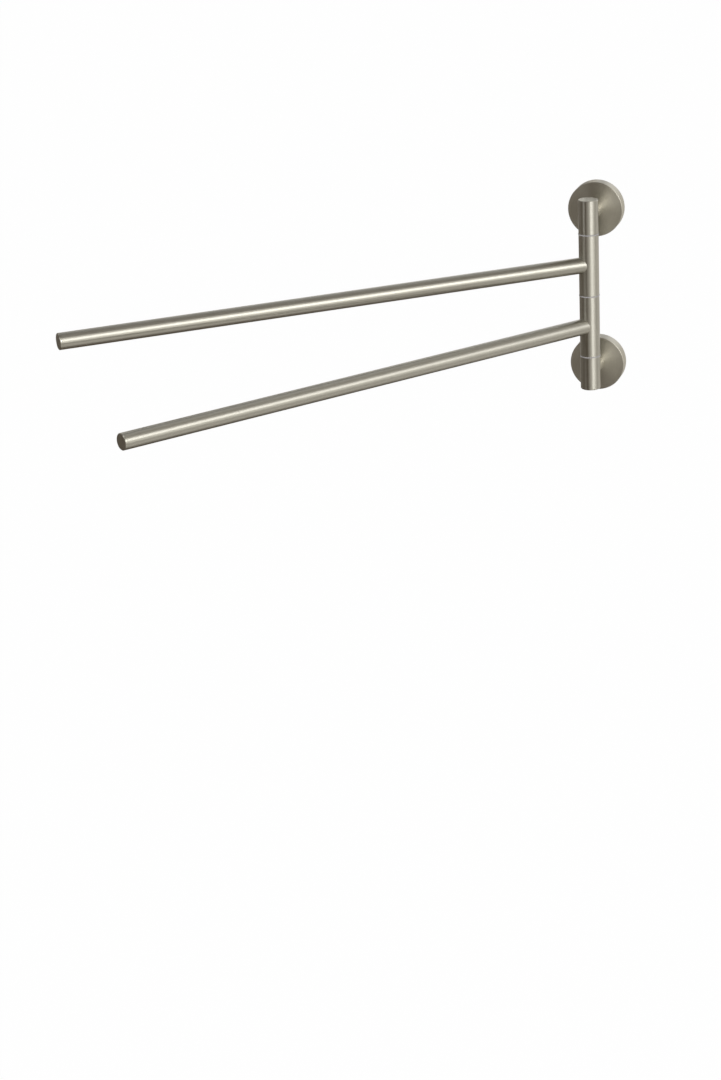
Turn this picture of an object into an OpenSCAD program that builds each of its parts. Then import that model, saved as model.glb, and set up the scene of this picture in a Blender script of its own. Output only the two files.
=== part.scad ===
// Swivel holder with two tubular arms, carried on a bathroom wall by two round plates.
// Origin: on the wall's surface, midway between the two plates.
// +X runs along the wall, +Y points into the wall and +Z is up.

/* [Column] */
// Outer diameter of the column
column_d = 20; // [18:0.5:30]
// Distance from the wall to the column's axis
column_reach = 44; // [36:0.5:80]
// Length of each swivel sleeve
sleeve_len = 61.5; // [46:0.5:90]
// Length of each fixed end piece
end_piece_len = 34; // [32:0.5:60]
// Chamfer on the column's top edge
top_chamfer = 0.4; // [0.2:0.1:1.5]
// Rounding of the column's bottom edge
bottom_round = 1.5; // [0.5:0.1:3]
// Chamfer on the ends that meet a washer
joint_chamfer = 0.2; // [0.1:0.05:0.5]

/* [Pivot] */
// Diameter of the pivot shaft
shaft_d = 8; // [6:0.5:10]
// Depth that the shaft reaches into each end piece
shaft_seat = 12; // [6:0.5:12.5]
// Space past each end of the shaft
shaft_end_play = 0.5; // [0.2:0.1:1]
// Chamfer on the shaft's ends
shaft_chamfer = 0.6; // [0.2:0.1:1]
// Radial clearance between the shaft and its bushes
running_clearance = 0.05; // [0.02:0.01:0.1]
// Wall of each bush
bush_wall = 1.95; // [1:0.05:2.5]
// Length of each bush
bush_len = 12; // [6:0.5:20]
// Chamfer in the mouth of each bush
bush_chamfer = 0.5; // [0.1:0.1:0.8]
// Thickness of each washer
washer_t = 0.9; // [0.5:0.1:2]
// How far a washer stands out past the column
washer_proud = 0.3; // [0.1:0.05:0.8]
// Radial clearance between the shaft and a washer
washer_play = 0.2; // [0.1:0.05:0.5]

/* [Arms] */
// Outer diameter of each arm
arm_d = 16; // [12:0.5:17]
// Wall of each arm's tube
arm_wall = 1.5; // [1:0.1:2.5]
// Distance from the column's axis to each arm's tip
arm_reach = 545; // [300:5:700]
// Turn of the upper arm from straight out of the wall towards -X, in degrees
upper_arm_turn = 51; // [-90:1:90]
// Turn of the lower arm from straight out of the wall towards -X, in degrees
lower_arm_turn = 37; // [-90:1:90]
// Length of the end cap that shows
cap_lip = 2.2; // [1.5:0.1:5]
// Chamfer around the end cap's face
cap_chamfer = 0.5; // [0.2:0.1:1]
// Chamfer on each side of the seam between cap and tube
seam_chamfer = 0.15; // [0.1:0.05:0.3]
// Length of the end cap's spigot
cap_spigot_len = 10; // [6:0.5:20]
// Lead-in chamfer on the spigot
spigot_chamfer = 0.8; // [0.2:0.1:1.5]
// Length of the plug in each arm's root
plug_len = 20; // [12:0.5:40]
// Diameter of the plug's stud
stud_d = 6; // [4:0.5:8]
// Space between the stud's tip and the sleeve's bore
stud_gap = 0.2; // [0.1:0.1:0.6]

/* [Wall plates] */
// Outer diameter of each rosette
rosette_d = 55; // [50:1:80]
// Depth of each rosette
rosette_depth = 13; // [12.5:0.5:20]
// Thickness of the rosette's face
rosette_face_t = 3; // [2:0.1:3.5]
// Thickness of the rosette's side wall
rosette_side_t = 3.5; // [3:0.1:5]
// Chamfer around the rosette's face
rosette_chamfer = 0.4; // [0.2:0.1:1.5]
// Diameter of each post
post_d = 14; // [11:0.5:17]
// Depth of the post's seat in the rosette's face
post_seat = 0.8; // [0.3:0.1:1.2]
// Radial clearance around the post in its seat
post_seat_play = 0.05; // [0.02:0.01:0.2]
// Radial clearance of the bracket in the rosette
bracket_play = 0.2; // [0.1:0.05:0.5]
// Clearance between the bracket's rim and the rosette's face
bracket_gap = 1; // [0.5:0.1:2]
// Thickness of the bracket's plate
bracket_plate_t = 3; // [2:0.1:3.5]
// Thickness of the bracket's rim
bracket_rim_t = 3; // [2.5:0.1:4]
// Depth of the groove around the bracket's rim
groove_depth = 1.5; // [1:0.1:1.5]
// Diameter of the holes for the wall screws
wall_hole_d = 4.5; // [4:0.1:5.5]
// Distance between a bracket's two screw holes
wall_hole_spacing = 28; // [24:0.5:30]

/* [Fasteners] */
// Diameter of the screw through each post
post_screw_d = 6; // [5:0.5:7]
// Length of that screw's thread in the end piece
post_screw_bite = 11; // [6:0.5:16]
// Radial clearance around that screw in the post and rosette
post_screw_play = 0.2; // [0.1:0.05:0.4]
// Head diameter of that screw
post_screw_head_d = 10; // [9:0.5:12]
// Head height of that screw
post_screw_head_h = 6; // [4:0.5:6]
// Chamfer around the head and the tip of that screw
head_chamfer = 0.5; // [0.2:0.1:0.8]
// Hexagon socket of that screw, across corners
post_screw_socket = 5.6; // [4:0.1:6]
// Depth of that screw's socket
post_screw_socket_depth = 3; // [2:0.5:3.5]
// Diameter of the set screw in each rosette's side
set_screw_d = 4; // [3:0.5:4]
// Depth of the set screw's outer end below the rosette's side
set_screw_recess = 0.1; // [0.1:0.1:0.5]
// Clearance between the set screw's point and the groove
set_screw_gap = 0.1; // [0.05:0.05:0.3]
// Hexagon socket of the set screw, across corners
set_screw_socket = 2.3; // [1.6:0.1:2.4]
// Depth of the set screw's socket
set_screw_socket_depth = 2; // [1:0.5:2.5]
// Depth of each blind threaded hole past its screw's tip
tap_runout = 1; // [0.5:0.1:2]

/* [Hidden] */
$fn = 96;
// Colours
steel = [0.70, 0.68, 0.64];
fastener_steel = [0.55, 0.55, 0.56];
washer_plastic = [0.88, 0.86, 0.90];
bush_plastic = [0.93, 0.92, 0.88];
// Extra length that carries a cut clear through a face
cut = 1;
// Heights of the washers and of the parts between them, measured from mid height
washer_pitch = sleeve_len + washer_t;
arm_z = washer_pitch / 2;
end_piece_z = washer_pitch + washer_t / 2;
post_z = end_piece_z + end_piece_len / 2;
// Pivot
shaft_len = 2 * (end_piece_z + shaft_seat);
bush_bore_d = shaft_d + 2 * running_clearance;
bush_d = bush_bore_d + 2 * bush_wall;
washer_d = column_d + 2 * washer_proud;
// Arms
arm_bore_d = arm_d - 2 * arm_wall;
tube_end = arm_reach - cap_lip;
stud_tip = bush_d / 2 + stud_gap;
// Wall plates, with heights measured from the wall
rosette_in_d = rosette_d - 2 * rosette_side_t;
rosette_in_h = rosette_depth - rosette_face_t;
bracket_d = rosette_in_d - 2 * bracket_play;
bracket_h = rosette_in_h - bracket_gap;
groove_h = (bracket_plate_t + bracket_h) / 2;
groove_r = bracket_d / 2 - groove_depth;
post_start = rosette_depth - post_seat;
post_screw_tip = column_reach - column_d / 2 + post_screw_bite;
post_hole_d = post_screw_d + 2 * post_screw_play;
set_screw_tip = groove_r + set_screw_gap;
set_screw_point = groove_depth - set_screw_gap;
set_screw_end = rosette_d / 2 - set_screw_recess;

// Places a part on the column's axis at a height
module at_column(z = 0) {
    translate([0, -column_reach, z]) children();
}

// Places a part on the wall at a plate's height, with its own +Z pointing out of the wall
module out_of_wall(z) {
    translate([0, 0, z]) rotate([90, 0, 0]) children();
}

// Places a part at an arm's root, with its own +Z pointing along the arm
module along_arm(z, turn) {
    at_column(z) rotate([0, 0, -turn]) rotate([90, 0, 0]) children();
}

// Points a part's own +Z along -Y, down the wall once it is turned out of the wall
module downwards() {
    rotate([90, 0, 0]) children();
}

// Solid round bar with a chamfer at its foot and at its head, where 0 leaves a sharp edge
module bar(d, h, foot, head) {
    r = d / 2;
    foot_edge = foot > 0 ? [[r - foot, 0], [r, foot]] : [[r, 0]];
    head_edge = head > 0 ? [[r, h - head], [r - head, h]] : [[r, h]];
    rotate_extrude() polygon(concat([[0, 0]], foot_edge, head_edge, [[0, h]]));
}

// The column's outer cylinder along a part's own Y, which cuts the saddle in a post or an arm
module saddle_cut(length) {
    rotate([90, 0, 0]) cylinder(d = column_d, h = length, center = true);
}

// Disc with a raised rim, two screw holes and a groove around it for the set screw's point
module wall_bracket() {
    rim_in_d = bracket_d - 2 * bracket_rim_t;
    point_half = set_screw_d / 2 - set_screw_point;
    difference() {
        cylinder(d = bracket_d, h = bracket_h);
        translate([0, 0, bracket_plate_t]) cylinder(d = rim_in_d, h = bracket_h);
        for (side = [-1, 1])
            translate([side * wall_hole_spacing / 2, 0, -cut])
                cylinder(d = wall_hole_d, h = bracket_plate_t + 2 * cut);
        rotate_extrude() polygon([
            [groove_r, groove_h - point_half],
            [groove_r, groove_h + point_half],
            [groove_r + groove_depth + cut, groove_h + point_half + groove_depth + cut],
            [groove_r + groove_depth + cut, groove_h - point_half - groove_depth - cut]]);
    }
}

// Turned cup with a seat for the post in its face and a threaded hole in its side
module rosette() {
    difference() {
        bar(rosette_d, rosette_depth, 0, rosette_chamfer);
        translate([0, 0, -cut]) cylinder(d = rosette_in_d, h = rosette_in_h + cut);
        translate([0, 0, rosette_in_h - cut]) cylinder(d = post_hole_d, h = rosette_face_t + 2 * cut);
        translate([0, 0, post_start]) cylinder(d = post_d + 2 * post_seat_play, h = post_seat + cut);
        translate([0, 0, groove_h]) downwards() cylinder(d = set_screw_d, h = rosette_d);
    }
}

// Headless screw with a cone point, which stands in the groove of the bracket's rim
module set_screw() {
    r = set_screw_d / 2;
    translate([0, 0, groove_h]) downwards() difference() {
        rotate_extrude() polygon([[0, set_screw_tip], [r - set_screw_point, set_screw_tip],
            [r, set_screw_tip + set_screw_point], [r, set_screw_end], [0, set_screw_end]]);
        translate([0, 0, set_screw_end - set_screw_socket_depth])
            cylinder(d = set_screw_socket, h = set_screw_socket_depth + cut, $fn = 6);
    }
}

// Spacer between rosette and column, saddle cut to the column's surface
module post() {
    difference() {
        translate([0, 0, post_start]) cylinder(d = post_d, h = column_reach - post_start);
        translate([0, 0, post_start - cut]) cylinder(d = post_hole_d, h = column_reach);
        translate([0, 0, column_reach]) saddle_cut(post_d + 2 * cut);
    }
}

// Socket head screw from inside the rosette into the end piece
module post_screw() {
    head_r = post_screw_head_d / 2;
    head_z = rosette_in_h - post_screw_head_h;
    r = post_screw_d / 2;
    difference() {
        rotate_extrude() polygon([[0, head_z], [head_r - head_chamfer, head_z],
            [head_r, head_z + head_chamfer], [head_r, rosette_in_h], [r, rosette_in_h],
            [r, post_screw_tip - head_chamfer], [r - head_chamfer, post_screw_tip], [0, post_screw_tip]]);
        translate([0, 0, head_z - cut])
            cylinder(d = post_screw_socket, h = post_screw_socket_depth + cut, $fn = 6);
    }
}

// Blind bore for the shaft in the end of a piece that stands on its own Z = 0
module shaft_bore() {
    translate([0, 0, -cut]) cylinder(d = shaft_d, h = shaft_seat + shaft_end_play + cut);
}

// Threaded hole for the post's screw, from the wall's side at the middle of an end piece
module cross_hole() {
    tip = column_reach - post_screw_tip - tap_runout;
    translate([0, tip, end_piece_len / 2]) rotate([-90, 0, 0])
        cylinder(d = post_screw_d, h = column_d / 2 - tip + cut);
}

// Fixed upper length of the column, standing on its washer
module top_piece() {
    difference() {
        bar(column_d, end_piece_len, joint_chamfer, top_chamfer);
        shaft_bore();
        cross_hole();
    }
}

// Fixed lower length of the column, drawn upside down so that its rounded end is on top
module bottom_piece() {
    corner = column_d / 2 - bottom_round;
    difference() {
        rotate_extrude() {
            polygon([[0, 0], [column_d / 2 - joint_chamfer, 0], [column_d / 2, joint_chamfer],
                [column_d / 2, end_piece_len - bottom_round], [0, end_piece_len - bottom_round]]);
            square([corner, end_piece_len]);
            translate([corner, end_piece_len - bottom_round]) circle(r = bottom_round);
        }
        shaft_bore();
        cross_hole();
    }
}

// Thin plastic ring between two lengths of the column, centred on its own height
module washer() {
    difference() {
        cylinder(d = washer_d, h = washer_t, center = true);
        cylinder(d = shaft_d + 2 * washer_play, h = washer_t + 2 * cut, center = true);
    }
}

// Swivelling length of the column with a hole in its wall for the arm's stud
module sleeve(turn) {
    translate([0, 0, -sleeve_len / 2]) difference() {
        bar(column_d, sleeve_len, joint_chamfer, joint_chamfer);
        translate([0, 0, -cut]) cylinder(d = bush_d, h = sleeve_len + 2 * cut);
        translate([0, 0, sleeve_len / 2]) rotate([0, 0, -turn]) rotate([90, 0, 0])
            cylinder(d = stud_d, h = column_d / 2 + cut);
    }
}

// Plain bearing, standing on the sleeve's end with its chamfered mouth below
module bush() {
    rotate_extrude() polygon([[bush_bore_d / 2, bush_chamfer], [bush_bore_d / 2 + bush_chamfer, 0],
        [bush_d / 2, 0], [bush_d / 2, bush_len], [bush_bore_d / 2, bush_len]]);
}

// Arm's tube, saddle cut at its root and open at both ends
module arm_tube() {
    difference() {
        bar(arm_d, tube_end, 0, seam_chamfer);
        translate([0, 0, -cut]) cylinder(d = arm_bore_d, h = tube_end + 2 * cut);
        saddle_cut(arm_d + 2 * cut);
    }
}

// Plug in the tube's root, with a stud into the sleeve's wall
module arm_plug() {
    difference() {
        cylinder(d = arm_bore_d, h = column_d / 2 + plug_len);
        saddle_cut(arm_d + 2 * cut);
    }
    translate([0, 0, stud_tip]) cylinder(d = stud_d, h = column_d / 2 + cut - stud_tip);
}

// End cap with a chamfered lip and a spigot in the tube
module arm_cap() {
    r = arm_d / 2;
    spigot_r = arm_bore_d / 2;
    foot = tube_end - cap_spigot_len;
    rotate_extrude() polygon([[0, foot],
        [spigot_r - spigot_chamfer, foot], [spigot_r, foot + spigot_chamfer],
        [spigot_r, tube_end], [r - seam_chamfer, tube_end], [r, tube_end + seam_chamfer],
        [r, arm_reach - cap_chamfer], [r - cap_chamfer, arm_reach], [0, arm_reach]]);
}

module upper_wall_bracket() { color(fastener_steel) out_of_wall(post_z) wall_bracket(); }
module lower_wall_bracket() { color(fastener_steel) out_of_wall(-post_z) wall_bracket(); }
module upper_rosette() { color(steel) out_of_wall(post_z) rosette(); }
module lower_rosette() { color(steel) out_of_wall(-post_z) rosette(); }
module upper_set_screw() { color(fastener_steel) out_of_wall(post_z) set_screw(); }
module lower_set_screw() { color(fastener_steel) out_of_wall(-post_z) set_screw(); }
module upper_post() { color(steel) out_of_wall(post_z) post(); }
module lower_post() { color(steel) out_of_wall(-post_z) post(); }
module upper_post_screw() { color(fastener_steel) out_of_wall(post_z) post_screw(); }
module lower_post_screw() { color(fastener_steel) out_of_wall(-post_z) post_screw(); }
module top_end_piece() { color(steel) at_column(end_piece_z) top_piece(); }
module bottom_end_piece() { color(steel) at_column(-end_piece_z) mirror([0, 0, 1]) bottom_piece(); }
module pivot_shaft() {
    color(fastener_steel) at_column(-shaft_len / 2) bar(shaft_d, shaft_len, shaft_chamfer, shaft_chamfer);
}
module top_washer() { color(washer_plastic) at_column(washer_pitch) washer(); }
module middle_washer() { color(washer_plastic) at_column() washer(); }
module bottom_washer() { color(washer_plastic) at_column(-washer_pitch) washer(); }
module upper_sleeve() { color(steel) at_column(arm_z) sleeve(upper_arm_turn); }
module lower_sleeve() { color(steel) at_column(-arm_z) sleeve(lower_arm_turn); }
module top_bush(z) { color(bush_plastic) at_column(z + sleeve_len / 2) mirror([0, 0, 1]) bush(); }
module bottom_bush(z) { color(bush_plastic) at_column(z - sleeve_len / 2) bush(); }
module upper_sleeve_top_bush() { top_bush(arm_z); }
module upper_sleeve_bottom_bush() { bottom_bush(arm_z); }
module lower_sleeve_top_bush() { top_bush(-arm_z); }
module lower_sleeve_bottom_bush() { bottom_bush(-arm_z); }
module upper_arm_tube() { color(steel) along_arm(arm_z, upper_arm_turn) arm_tube(); }
module lower_arm_tube() { color(steel) along_arm(-arm_z, lower_arm_turn) arm_tube(); }
module upper_arm_plug() { color(fastener_steel) along_arm(arm_z, upper_arm_turn) arm_plug(); }
module lower_arm_plug() { color(fastener_steel) along_arm(-arm_z, lower_arm_turn) arm_plug(); }
module upper_arm_cap() { color(steel) along_arm(arm_z, upper_arm_turn) arm_cap(); }
module lower_arm_cap() { color(steel) along_arm(-arm_z, lower_arm_turn) arm_cap(); }

upper_wall_bracket();
lower_wall_bracket();
upper_rosette();
lower_rosette();
upper_set_screw();
lower_set_screw();
upper_post();
lower_post();
upper_post_screw();
lower_post_screw();
top_end_piece();
bottom_end_piece();
pivot_shaft();
top_washer();
middle_washer();
bottom_washer();
upper_sleeve();
upper_sleeve_top_bush();
upper_sleeve_bottom_bush();
lower_sleeve();
lower_sleeve_top_bush();
lower_sleeve_bottom_bush();
upper_arm_tube();
lower_arm_tube();
upper_arm_plug();
lower_arm_plug();
upper_arm_cap();
lower_arm_cap();
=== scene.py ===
# Swivel holder with two tubular arms: finishes, floor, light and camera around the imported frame.
import math

import bpy
from mathutils import Matrix, Vector


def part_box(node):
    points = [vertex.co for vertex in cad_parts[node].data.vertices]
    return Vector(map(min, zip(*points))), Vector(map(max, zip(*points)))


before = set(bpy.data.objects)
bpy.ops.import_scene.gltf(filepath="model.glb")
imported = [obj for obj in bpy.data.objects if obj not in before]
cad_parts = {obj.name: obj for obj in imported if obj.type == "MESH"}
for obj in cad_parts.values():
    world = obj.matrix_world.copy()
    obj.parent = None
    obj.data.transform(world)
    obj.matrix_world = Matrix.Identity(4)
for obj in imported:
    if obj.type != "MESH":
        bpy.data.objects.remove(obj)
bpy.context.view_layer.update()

# Camera, found from edges measured in the photograph. Angles in degrees, lengths in metres.
CAMERA_AZIMUTH = 18.27
CAMERA_ELEVATION = 20.15
CAMERA_ROLL = -2.80
CAMERA_DISTANCE = 2.6486
CAMERA_TARGET = (-0.25305, -0.044, -0.27763)
CAMERA_LENS_MM = 82.722
SENSOR_MM = 36.0

WHITE = (1.0, 1.0, 1.0)

# Floor, in metres. The glow is the share of what the camera sees there that is plain white.
FLOOR_Z = -1.2
FLOOR_HALF = 30.0
FLOOR_PAINT = (0.9, 0.9, 0.9)
FLOOR_GLOW = 0.98

# Studio light, in degrees and metres. Azimuth 0 is straight out of the wall and 90 is along +X.
# A softbox is azimuth, elevation, distance, width, height and radiance.
KEY_LIGHT = (50.0, 21.0, 2.2, 1.1, 1.1, 3.0)
STRIP_LIGHT = (-42.0, 33.0, 2.2, 0.7, 1.65, 1.14)
WARM = (1.0, 0.985, 0.935)
COOL = (0.96, 1.0, 1.05)
# Soft-edged panels that metal reflects: azimuth, half width, lowest and highest elevation, tone, tint
STUDIO_PANELS = (
    (51.0, 26.0, -12.0, 54.0, 1.08, WARM),
    (32.0, 23.0, -90.0, -20.0, 0.58, WARM),
    (86.0, 15.0, -26.0, 19.0, 0.5, WARM),
    (79.0, 18.0, -62.0, -14.0, 0.32, WARM),
    (108.0, 22.0, -58.0, -28.0, 0.2, WARM),
    (138.0, 33.0, -57.0, 63.0, 0.5, WARM),
    (173.0, 19.0, 5.0, 48.0, 0.68, COOL),
    (-163.0, 8.0, 10.0, 34.0, 1.0, WARM),
    (-165.0, 22.0, -34.0, 5.0, 0.5, WARM),
    (-138.0, 14.0, -35.0, 5.0, 0.06, WARM),
    (-108.0, 35.0, 35.0, 65.0, 0.3, COOL),
    (-104.0, 16.0, 0.0, 34.0, 0.4, WARM),
    (-62.0, 24.0, -60.0, 5.0, 0.06, WARM),
    (5.0, 22.0, 15.0, 50.0, 0.15, WARM),
    (5.0, 16.0, -90.0, 84.0, 0.22, WARM),
)
PANEL_EDGE = 6.0
# What metal reflects between the panels, and the even grey that plain surfaces get
DARK_SIDE = (0.100, 0.081, 0.062)
AMBIENT_TONE = 0.7

# Metals
STEEL = (0.62, 0.61, 0.55)
ROSETTE_STEEL = (0.62, 0.60, 0.53)
BRACKET_ZINC = (0.60, 0.60, 0.59)
SCREW_STEEL = (0.50, 0.50, 0.50)
# Finishes: how far the highlight spreads along a piece's axis, and how far around it
COLUMN_FINISH = (0.38, 0.045)
SLEEVE_FINISH = (0.33, 0.08)
ARM_FINISH = (0.33, 0.055)
CAP_FINISH = (0.25, 0.042)
PLUG_FINISH = (0.25, 0.1)
ROSETTE_FINISH = (0.28, 0.10)
BRACKET_FINISH = (0.2, 0.14)
SHAFT_FINISH = (0.15, 0.05)
SCREW_FINISH = (0.16, 0.1)
# A face is an end when its normal lies along the axis by more than this
END_FACING = 0.9
# Brush lines: how many to a metre, and how far a line strays on its way round
LINES_PER_METRE = 5000.0
LINE_WANDER = 2.5
BROAD_LINE_SCALE = 0.15
LINE_DEPTH = 0.00001
LINE_ROUGHNESS = 0.02
SMUDGES_PER_METRE = 60.0
SMUDGE_ROUGHNESS = 0.01
DARKEST, LIGHTEST = 0.96, 1.04

# Plastics: colour and roughness
WASHER_NYLON = ((0.50, 0.485, 0.49), 0.4)
BUSH_ACETAL = ((0.85, 0.84, 0.80), 0.35)
CLOUDS_PER_METRE = 900.0
CLOUD_DEPTH = 0.00002
CLOUD_ROUGHNESS = 0.05
CLOUD_TONE = 0.93
TRANSLUCENCE = 0.3
LIGHT_REACH = 0.0006

# Most values of a noise texture lie between these two
NOISE_LOW, NOISE_HIGH = 0.3, 0.7
BUMP_STRENGTH = 0.2


def middle(node):
    """Centre of a node's box."""
    low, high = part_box(node)
    return (low + high) / 2


COLUMN = middle("pivot_shaft")
UP = Vector((0, 0, 1))
OUT_OF_WALL = Vector((0, -1, 0))


class Nodes:
    """Adds nodes to a tree, so that a material reads like a formula."""

    def __init__(self, tree):
        self.tree = tree
        tree.nodes.clear()

    def put(self, socket, value):
        if isinstance(value, bpy.types.NodeSocket):
            self.tree.links.new(value, socket)
        else:
            socket.default_value = value

    def add(self, kind, inputs=None, **settings):
        node = self.tree.nodes.new("ShaderNode" + kind)
        for name, value in settings.items():
            setattr(node, name, value)
        for name, value in (inputs or {}).items():
            self.put(node.inputs[name], value)
        return node

    def math(self, operation, *values):
        return self.add("Math", dict(enumerate(values)), operation=operation).outputs[0]

    def vector(self, operation, *values):
        node = self.add("VectorMath", dict(enumerate(values)), operation=operation)
        return node.outputs["Value" if operation in ("DOT_PRODUCT", "LENGTH") else "Vector"]

    def scale(self, vector, factor):
        node = self.add("VectorMath", {"Vector": vector, "Scale": factor}, operation="SCALE")
        return node.outputs["Vector"]

    def remap(self, value, low, high, new_low, new_high):
        inputs = {"Value": value, "From Min": low, "From Max": high, "To Min": new_low, "To Max": new_high}
        return self.add("MapRange", inputs).outputs["Result"]

    def noise(self, vector, scale, detail=2.0, roughness=0.5):
        inputs = {"Vector": vector, "Scale": scale, "Detail": detail, "Roughness": roughness}
        return self.add("TexNoise", inputs).outputs["Fac"]

    def mix(self, factor, a, b):
        """Mix of two colours. Their sockets share their names with others, so they go by number."""
        node = self.add("Mix", {"Factor": factor}, data_type="RGBA")
        self.put(node.inputs[6], a)
        self.put(node.inputs[7], b)
        return node.outputs[2]


def new_material(name):
    material = bpy.data.materials.new(name)
    material.use_nodes = True
    return material, Nodes(material.node_tree)


def shade(colour, factor=1.0):
    """Colour made lighter or darker, with full alpha."""
    return tuple(c * factor for c in colour) + (1.0,)


def brushed_steel(name, axis, centre, finish, colour=STEEL, ground_ends=False):
    """Metal turned around an axis, with brush lines around it. The finish draws the highlight out along
    the axis and keeps it narrow around it. Ground ends have strokes in all directions instead."""
    material, n = new_material(name)
    axis = tuple(axis)
    offset = n.vector("SUBTRACT", n.add("TexCoord").outputs["Object"], tuple(centre))
    height = n.vector("DOT_PRODUCT", offset, axis)
    across_axis = n.vector("SUBTRACT", offset, n.scale(axis, height))
    around = n.vector("CROSS_PRODUCT", axis, across_axis)
    around = n.add("VectorTransform", {"Vector": around}, vector_type="VECTOR", convert_from="OBJECT",
                   convert_to="WORLD").outputs["Vector"]
    tangent = n.vector("CROSS_PRODUCT", around, n.add("NewGeometry").outputs["Normal"])
    if ground_ends:
        normal = n.add("TexCoord").outputs["Normal"]
        facing = n.math("ABSOLUTE", n.vector("DOT_PRODUCT", normal, axis))
        speckle = n.add("TexWhiteNoise", {"Vector": offset}).outputs["Color"]
        stroke = n.vector("SUBTRACT", speckle, (0.5, 0.5, 0.5))
        tangent = n.mix(n.math("GREATER_THAN", facing, END_FACING), tangent, stroke)

    # On a side a line is one height, on an end it is one radius.
    reach = n.math("MULTIPLY", n.math("ADD", height, n.vector("LENGTH", across_axis)), LINES_PER_METRE)
    wander = n.scale(n.vector("NORMALIZE", across_axis), LINE_WANDER)
    lines = n.vector("ADD", wander, n.scale(axis, reach))
    fine = n.noise(lines, 1.0, detail=3.0, roughness=0.6)
    broad = n.noise(lines, BROAD_LINE_SCALE)
    smudge = n.noise(offset, SMUDGES_PER_METRE)
    tone = n.remap(n.math("ADD", broad, smudge), 2 * NOISE_LOW, 2 * NOISE_HIGH, 0.0, 1.0)

    # The shader makes the spreads r^2 / s and r^2 * s from roughness r and anisotropy a, s^2 = 1 - 0.9 a.
    along, across = finish
    roughness = (along * across) ** 0.25
    anisotropy = (1.0 - across / along) / 0.9
    lined = n.remap(fine, NOISE_LOW, NOISE_HIGH, roughness - LINE_ROUGHNESS, roughness + LINE_ROUGHNESS)
    smudged = n.remap(smudge, NOISE_LOW, NOISE_HIGH, -SMUDGE_ROUGHNESS, SMUDGE_ROUGHNESS)
    bump = n.add("Bump", {"Height": fine, "Strength": BUMP_STRENGTH, "Distance": LINE_DEPTH})
    steel = n.add("BsdfPrincipled", {
        "Base Color": n.mix(tone, shade(colour, DARKEST), shade(colour, LIGHTEST)),
        "Metallic": 1.0,
        "Roughness": n.math("ADD", lined, smudged),
        "Anisotropic": anisotropy,
        "Tangent": tangent,
        "Normal": bump.outputs["Normal"],
    })
    n.add("OutputMaterial", {"Surface": steel.outputs[0]})
    return material


def cloudy_plastic(name, colour, roughness):
    """Slightly translucent plastic with a faint cloudiness."""
    material, n = new_material(name)
    cloud = n.noise(n.add("TexCoord").outputs["Object"], CLOUDS_PER_METRE, detail=3.0)
    bump = n.add("Bump", {"Height": cloud, "Strength": BUMP_STRENGTH, "Distance": CLOUD_DEPTH})
    matt, glossy = roughness + CLOUD_ROUGHNESS, roughness - CLOUD_ROUGHNESS
    plastic = n.add("BsdfPrincipled", {
        "Base Color": n.mix(cloud, shade(colour, CLOUD_TONE), shade(colour)),
        "Roughness": n.remap(cloud, NOISE_LOW, NOISE_HIGH, glossy, matt),
        "Subsurface Weight": TRANSLUCENCE,
        "Subsurface Radius": (LIGHT_REACH, LIGHT_REACH, LIGHT_REACH),
        "Normal": bump.outputs["Normal"],
    })
    n.add("OutputMaterial", {"Surface": plastic.outputs[0]})
    return material


def dress(node, material):
    """Puts the material in the node's only slot."""
    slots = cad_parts[node].data.materials
    slots.clear()
    slots.append(material)


def dress_column():
    for node in ("top_end_piece", "lower_sleeve", "bottom_end_piece"):
        dress(node, brushed_steel(node + "_steel", UP, COLUMN, COLUMN_FINISH, ground_ends=True))
    dress("upper_sleeve", brushed_steel("upper_sleeve_steel", UP, COLUMN, SLEEVE_FINISH))
    dress("pivot_shaft", brushed_steel("shaft_steel", UP, COLUMN, SHAFT_FINISH, SCREW_STEEL))
    nylon = cloudy_plastic("washer_nylon", *WASHER_NYLON)
    for node in ("top_washer", "middle_washer", "bottom_washer"):
        dress(node, nylon)
    acetal = cloudy_plastic("bush_acetal", *BUSH_ACETAL)
    for sleeve in ("upper_sleeve", "lower_sleeve"):
        for end in ("top", "bottom"):
            dress(f"{sleeve}_{end}_bush", acetal)


def dress_arms():
    for arm in ("upper_arm", "lower_arm"):
        tip = middle(arm + "_cap")
        root = Vector((COLUMN.x, COLUMN.y, tip.z))
        way = (tip - root).normalized()
        dress(arm + "_tube", brushed_steel(arm + "_steel", way, root, ARM_FINISH))
        dress(arm + "_cap", brushed_steel(arm + "_cap_steel", way, root, CAP_FINISH, ground_ends=True))
        dress(arm + "_plug", brushed_steel(arm + "_plug_steel", way, root, PLUG_FINISH, SCREW_STEEL))


def dress_wall_plates():
    for end in ("upper", "lower"):
        centre = middle(end + "_rosette")
        steel = brushed_steel(end + "_rosette_steel", OUT_OF_WALL, centre, ROSETTE_FINISH, ROSETTE_STEEL)
        dress(end + "_rosette", steel)
        dress(end + "_post", steel)
        zinc = brushed_steel(end + "_bracket_zinc", OUT_OF_WALL, centre, BRACKET_FINISH, BRACKET_ZINC)
        dress(end + "_wall_bracket", zinc)
        screw = brushed_steel(end + "_screw_steel", OUT_OF_WALL, centre, SCREW_FINISH, SCREW_STEEL)
        dress(end + "_post_screw", screw)
        dress(end + "_set_screw", screw)


def direction(azimuth, elevation):
    """Unit vector away from the holder, where azimuth 0 is straight out of the wall and 90 is along +X."""
    a, e = math.radians(azimuth), math.radians(elevation)
    return Vector((math.sin(a) * math.cos(e), -math.cos(a) * math.cos(e), math.sin(e)))


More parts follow.
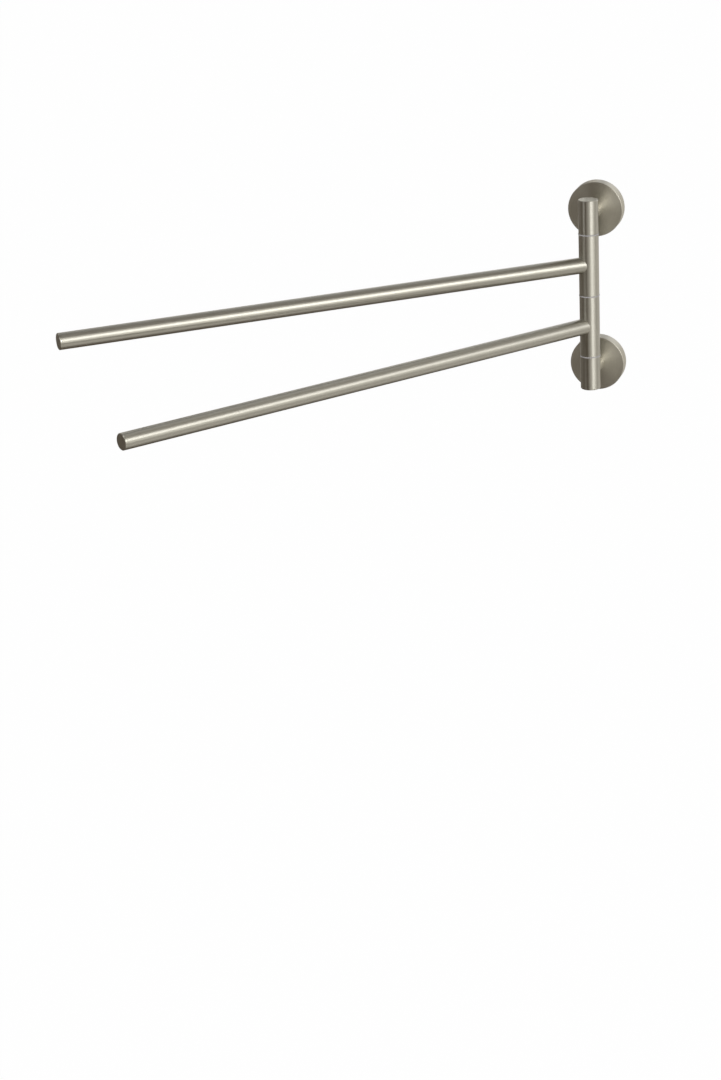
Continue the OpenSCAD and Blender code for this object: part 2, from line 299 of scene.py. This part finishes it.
def add_softbox(name, azimuth, elevation, distance, width, height, radiance):
    """Rectangular lamp that faces the column and that the camera does not see."""
    light = bpy.data.lights.new(name, "AREA")
    light.shape = "RECTANGLE"
    light.size, light.size_y = width, height
    light.energy = radiance * math.pi * width * height
    lamp = bpy.data.objects.new(name, light)
    way = direction(azimuth, elevation)
    lamp.location = COLUMN + way * distance
    lamp.rotation_mode = "QUATERNION"
    lamp.rotation_quaternion = way.to_track_quat("Z", "Y")
    lamp.visible_camera = False
    bpy.context.scene.collection.objects.link(lamp)


def studio_panel(n, level, elevation, azimuth, half_width, lowest, highest, tone, tint):
    """Colour of one panel of the studio, for the direction that a ray takes."""
    facing = n.vector("DOT_PRODUCT", level, tuple(direction(azimuth, 0.0)))
    turn = n.math("DEGREES", n.math("ARCCOSINE", facing))
    soft = PANEL_EDGE / 2
    inside = n.remap(turn, half_width + soft, half_width - soft, 0.0, tone)
    above = n.remap(elevation, lowest - soft, lowest + soft, 0.0, 1.0)
    below = n.remap(elevation, highest + soft, highest - soft, 0.0, 1.0)
    return n.scale(tint, n.math("MULTIPLY", inside, n.math("MULTIPLY", above, below)))


def add_world():
    """White to the camera, an even pale grey to plain surfaces, light and dark sides to metal."""
    world = bpy.data.worlds.new("studio")
    world.use_nodes = True
    world.cycles.sampling_method = "NONE"
    bpy.context.scene.world = world
    n = Nodes(world.node_tree)
    way = n.add("TexCoord").outputs["Generated"]
    level = n.vector("NORMALIZE", n.vector("MULTIPLY", way, (1.0, 1.0, 0.0)))
    height = n.add("SeparateXYZ", {"Vector": way}).outputs["Z"]
    elevation = n.math("DEGREES", n.math("ARCSINE", height))
    studio = DARK_SIDE
    for panel in STUDIO_PANELS:
        studio = n.vector("ADD", studio_panel(n, level, elevation, *panel), studio)
    rays = n.add("LightPath").outputs
    seen = n.mix(rays["Is Diffuse Ray"], studio, shade(WHITE, AMBIENT_TONE))
    seen = n.mix(rays["Is Camera Ray"], seen, shade(WHITE))
    n.add("OutputWorld", {"Surface": n.add("Background", {"Color": seen}).outputs[0]})


def add_floor():
    """Plain pale floor, which glows to the camera and is left out of reflections."""
    corners = [(x * FLOOR_HALF, y * FLOOR_HALF, FLOOR_Z) for x, y in ((-1, -1), (1, -1), (1, 1), (-1, 1))]
    mesh = bpy.data.meshes.new("floor")
    mesh.from_pydata(corners, [], [(0, 1, 2, 3)])
    floor = bpy.data.objects.new("floor", mesh)
    bpy.context.scene.collection.objects.link(floor)
    material, n = new_material("pale_floor")
    paint = n.add("BsdfDiffuse", {"Color": shade(FLOOR_PAINT)}).outputs[0]
    glow = n.add("Emission", {"Color": shade(WHITE), "Strength": 1.0}).outputs[0]
    share = n.math("MULTIPLY", n.add("LightPath").outputs["Is Camera Ray"], FLOOR_GLOW)
    surface = n.add("MixShader", {0: share, 1: paint, 2: glow})
    n.add("OutputMaterial", {"Surface": surface.outputs[0]})
    mesh.materials.append(material)
    floor.visible_glossy = False


def add_camera():
    """Camera at the photograph's viewpoint."""
    back = direction(CAMERA_AZIMUTH, CAMERA_ELEVATION)
    level = (-back).to_track_quat("-Z", "Y").to_matrix()
    turn = level @ Matrix.Rotation(math.radians(CAMERA_ROLL), 3, "Z")
    data = bpy.data.cameras.new("camera")
    data.sensor_width = SENSOR_MM
    data.lens = CAMERA_LENS_MM
    camera = bpy.data.objects.new("camera", data)
    camera.matrix_world = Matrix.Translation(Vector(CAMERA_TARGET) + back * CAMERA_DISTANCE) @ turn.to_4x4()
    bpy.context.scene.collection.objects.link(camera)
    bpy.context.scene.camera = camera


bpy.context.scene.view_settings.view_transform = "Standard"
add_camera()
add_world()
add_floor()
add_softbox("key_light", *KEY_LIGHT)
add_softbox("strip_light", *STRIP_LIGHT)
dress_column()
dress_arms()
dress_wall_plates()
